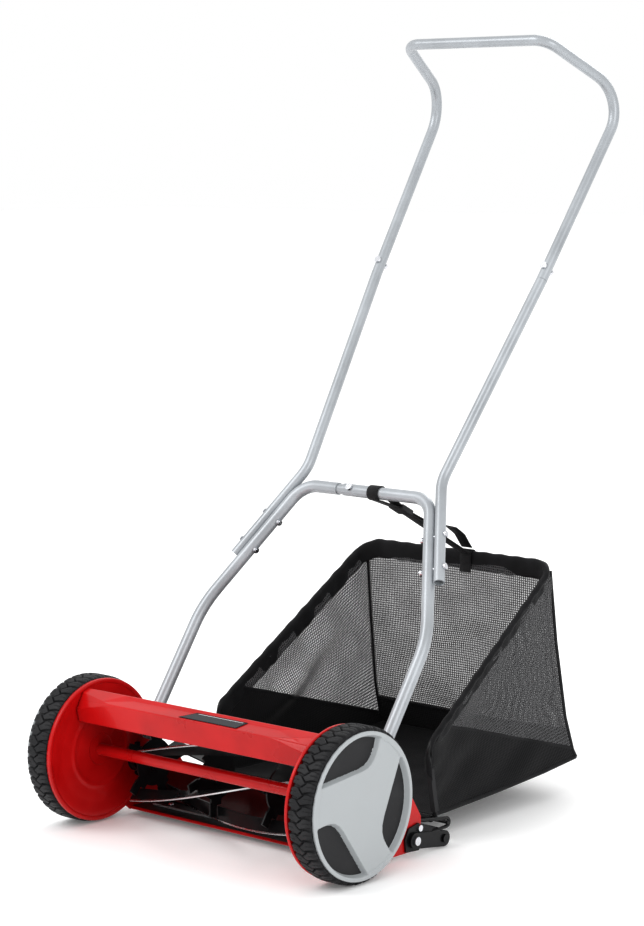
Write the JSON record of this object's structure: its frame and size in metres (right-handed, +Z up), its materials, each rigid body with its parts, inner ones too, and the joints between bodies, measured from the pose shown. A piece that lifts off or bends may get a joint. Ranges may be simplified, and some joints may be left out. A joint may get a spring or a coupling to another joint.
{
  "type": "reel lawn mower",
  "caption": "Push reel mower with side wheels geared to a helical blade reel, folding tube handle, rear roller and an open fabric grass bag hung from the handle by a strap.",
  "frame": {"origin": "on the ground, straight below the middle of the wheel axle", "axes": "+X across the mower, +Y towards the user who pushes it, +Z up"},
  "size_m": [0.54, 0.8009, 1.1205],
  "materials": {
    "red_paint": "glossy red powder coat",
    "grey_paint": "silver-grey paint on tube",
    "dark_paint": "satin black paint",
    "steel": "plain ground steel",
    "zinc": "bright zinc plate",
    "dark_plastic": "moulded dark grey plastic",
    "silver_plastic": "silver painted plastic",
    "rubber": "black rubber",
    "bush": "natural nylon",
    "bag_fabric": "woven mesh with a solid black floor and hem",
    "webbing": "black woven webbing",
    "label": "plain dark label"
  },
  "bodies": {
    "deck": {"side_plate_left": "red_paint", "side_plate_right": "red_paint", "top_cover": "red_paint", "cover_label": "label", "cover_screws": "zinc", "cross_tube": "red_paint", "axle_rod": "steel", "axle_clips": "zinc", "cutter_bar": "red_paint", "bed_knife": "steel", "knife_screws": "zinc", "bearing_housing_left": "dark_paint", "bearing_housing_right": "dark_paint", "reel_bearing_left": "steel", "reel_bearing_right": "steel", "handle_pin_left": "zinc", "handle_pin_right": "zinc", "handle_stops": "zinc", "height_bracket_left": "dark_paint", "height_bracket_right": "dark_paint", "bag_hooks": "dark_paint", "height_screws": "zinc"},
    "wheel_left": {"wheel_left": "dark_plastic", "tyre_left": "rubber", "hub_cover_left": "silver_plastic", "wheel_bush_left": "bush"},
    "wheel_right": {"wheel_right": "dark_plastic", "tyre_right": "rubber", "hub_cover_right": "silver_plastic", "wheel_bush_right": "bush"},
    "reel": {"reel_shaft": "steel", "spider_1": "dark_paint", "spider_2": "dark_paint", "spider_3": "dark_paint", "spider_4": "dark_paint", "reel_blade_1": "dark_paint", "reel_blade_2": "dark_paint", "reel_blade_3": "dark_paint", "reel_blade_4": "dark_paint", "reel_blade_5": "dark_paint", "pinion_left": "steel", "pinion_right": "steel", "pawl_left": "steel", "pawl_right": "steel"},
    "height_arms": {"height_arm_left": "dark_paint", "height_arm_right": "dark_paint", "roller_shaft": "steel"},
    "roller": {"roller": "dark_plastic"},
    "handle": {"lower_tube_left": "grey_paint", "lower_tube_right": "grey_paint", "mid_tube_left": "grey_paint", "mid_tube_right": "grey_paint", "top_loop": "grey_paint", "brace_bolts": "zinc", "joint_screws": "zinc"},
    "bag": {"bag_frame": "dark_paint", "bag_channels": "dark_plastic", "bag_shell": "bag_fabric"},
    "strap": {"strap": "webbing", "strap_buckle": "dark_plastic"}
  },
  "joints": [
    {"name": "reel_spin", "type": "hinge", "parent": "deck", "child": "reel", "pos_m": [0, 0.07142, 0.07901], "axis": [1, 0, 0], "continuous": true},
    {"name": "wheel_right_spin", "type": "hinge", "parent": "deck", "child": "wheel_right", "pos_m": [0, 0, 0.105], "axis": [1, 0, 0], "continuous": true},
    {"name": "wheel_left_spin", "type": "hinge", "parent": "deck", "child": "wheel_left", "pos_m": [0, 0, 0.105], "axis": [1, 0, 0], "continuous": true},
    {"name": "height_adjust", "type": "hinge", "parent": "deck", "child": "height_arms", "pos_m": [0, 0.151, 0.022], "axis": [-1, 0, 0], "range_deg": [0, 10]},
    {"name": "roller_spin", "type": "hinge", "parent": "height_arms", "child": "roller", "pos_m": [0, 0.21335, 0.013], "axis": [1, 0, 0], "continuous": true},
    {"name": "handle_swing", "type": "hinge", "parent": "deck", "child": "handle", "pos_m": [0, 0.084, 0.1212], "axis": [1, 0, 0], "range_deg": [0, 20]},
    {"name": "bag_lift", "type": "hinge", "parent": "deck", "child": "bag", "pos_m": [0, 0.232, 0.03], "axis": [1, 0, 0], "range_deg": [0, 19.2]},
    {"name": "strap_turn", "type": "hinge", "parent": "handle", "child": "strap", "pos_m": [0, 0.31966, 0.4628], "axis": [1, 0, 0], "range_deg": [-14.6, 0]}
  ],
  "couplings": [
    {"joint": "wheel_right_spin", "follows": "reel_spin", "ratio": 0.13636},
    {"joint": "wheel_left_spin", "follows": "reel_spin", "ratio": 0.13636},
    {"joint": "bag_lift", "follows": "handle_swing", "ratio": 0.9562},
    {"joint": "strap_turn", "follows": "handle_swing", "ratio": -0.7237}
  ]
}
